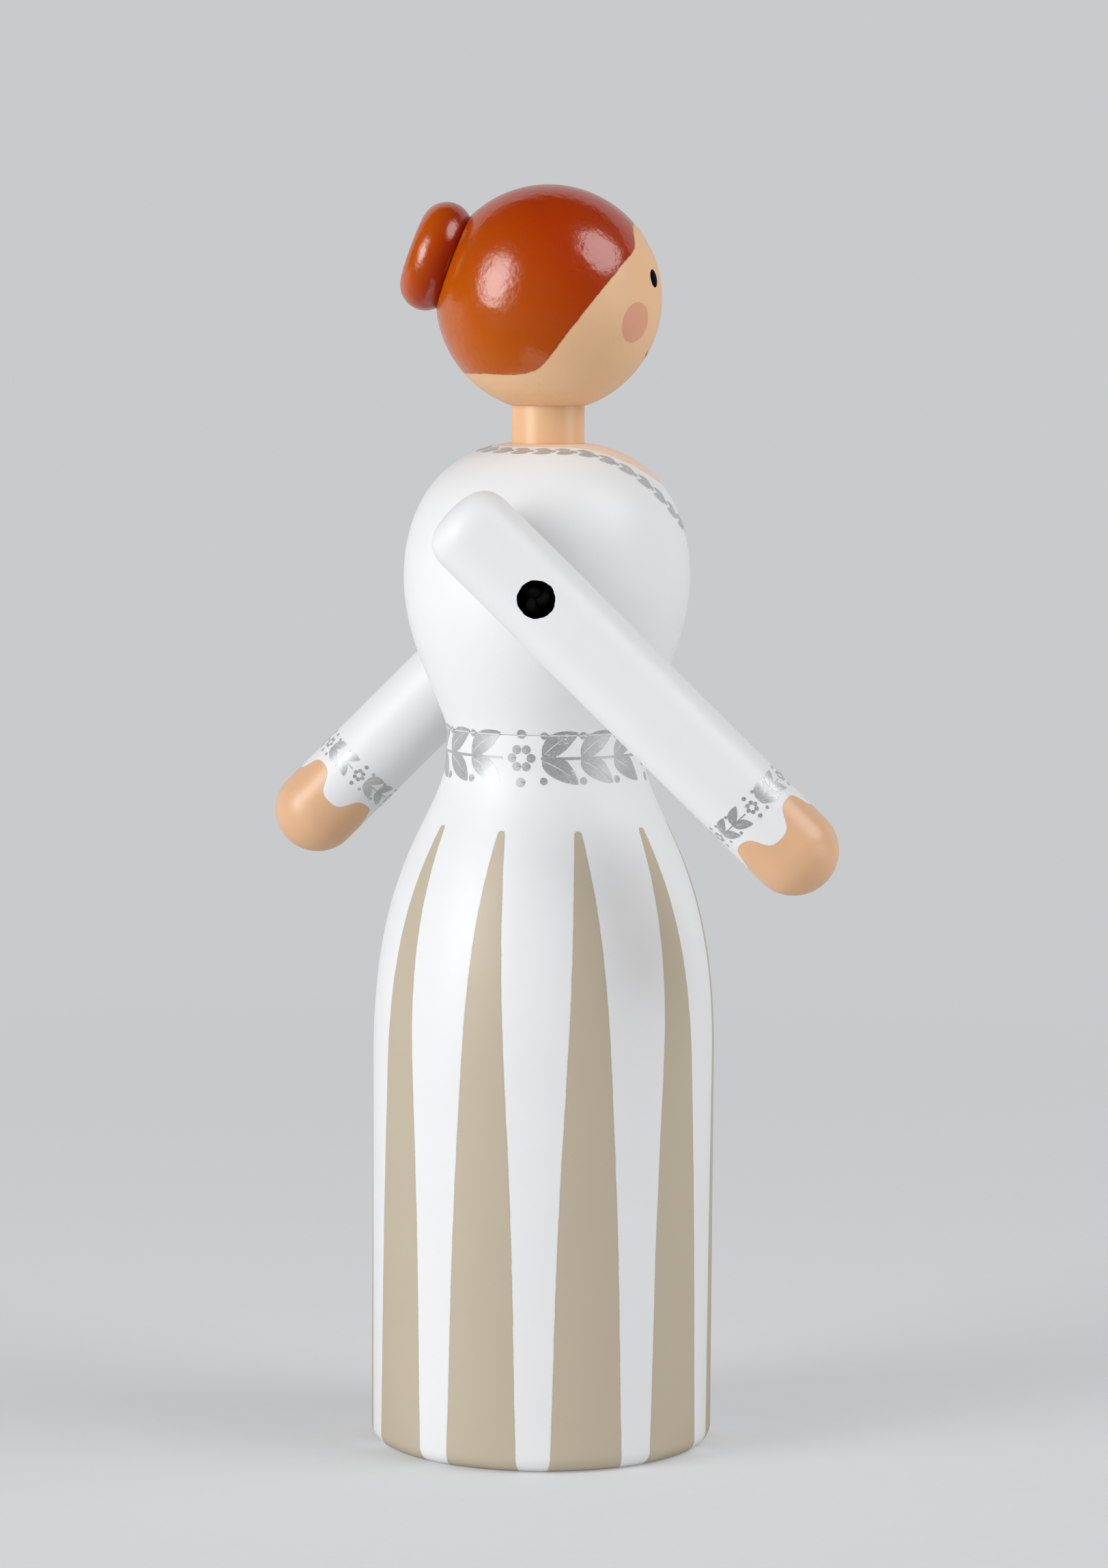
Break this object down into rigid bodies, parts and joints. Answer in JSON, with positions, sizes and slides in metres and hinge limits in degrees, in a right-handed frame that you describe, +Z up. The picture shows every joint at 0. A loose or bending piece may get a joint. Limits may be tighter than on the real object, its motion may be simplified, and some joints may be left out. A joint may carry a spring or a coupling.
{
  "type": "wooden bride figure",
  "caption": "Turned wooden bride doll with a bottle-shaped striped white skirt, rounded torso, ball head with bun and dowel arms; the head turns and the arms swing.",
  "frame": {"origin": "centre of the flat underside of the skirt, on the surface the figure stands on", "axes": "+Z up, +X to the figure's front, +Y to the figure's left"},
  "size_m": [0.0783, 0.0606, 0.17],
  "materials": {
    "white_paint": "satin white paint on turned wood",
    "skin_paint": "satin skin-coloured paint on turned wood",
    "hair_paint": "glossy auburn paint on turned wood",
    "bare_wood": "bare beech",
    "black_elastic": "black elastic cord"
  },
  "bodies": {
    "body": {"skirt": "white_paint", "torso": "white_paint", "waist_dowel": "bare_wood", "neck": "skin_paint", "elastic_cord": "black_elastic"},
    "head": {"head": "skin_paint", "hair_bun": "hair_paint", "bun_peg": "bare_wood"},
    "right_arm": {"right_arm": "white_paint"},
    "left_arm": {"left_arm": "white_paint"}
  },
  "joints": [
    {"name": "head_turn", "type": "hinge", "parent": "body", "child": "head", "pos_m": [0, 0, 0.15488], "axis": [0, 0, 1], "continuous": true},
    {"name": "right_arm_swing", "type": "hinge", "parent": "body", "child": "right_arm", "pos_m": [0, -0.02445, 0.1165], "axis": [0, -1, 0], "range_deg": [-28.5, 297]},
    {"name": "left_arm_swing", "type": "hinge", "parent": "body", "child": "left_arm", "pos_m": [0, 0.02445, 0.1165], "axis": [0, -1, 0], "range_deg": [-298, 27.5]}
  ]
}
